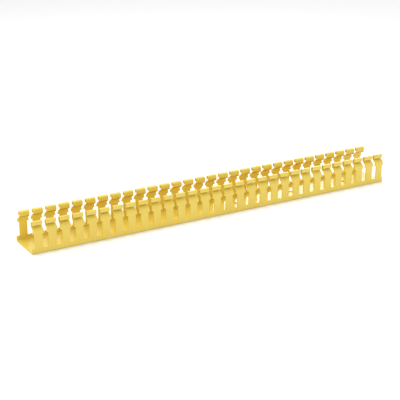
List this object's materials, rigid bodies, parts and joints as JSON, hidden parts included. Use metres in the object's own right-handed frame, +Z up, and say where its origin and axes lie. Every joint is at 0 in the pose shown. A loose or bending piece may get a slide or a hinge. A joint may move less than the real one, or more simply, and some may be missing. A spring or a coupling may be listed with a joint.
{
  "type": "slotted wire duct",
  "caption": "Open-top plastic cable channel with slotted side walls, shouldered fingers with cover-latch heads and a row of mounting holes in the floor.",
  "frame": {"origin": "middle of the underside", "axes": "+X along the duct, +Y across it, +Z up out of its open top"},
  "size_m": [0.598, 0.0576, 0.0453],
  "materials": {
    "pvc": "satin yellow rigid PVC"
  },
  "bodies": {
    "root": {"duct_channel": "pvc"}
  },
  "joints": []
}
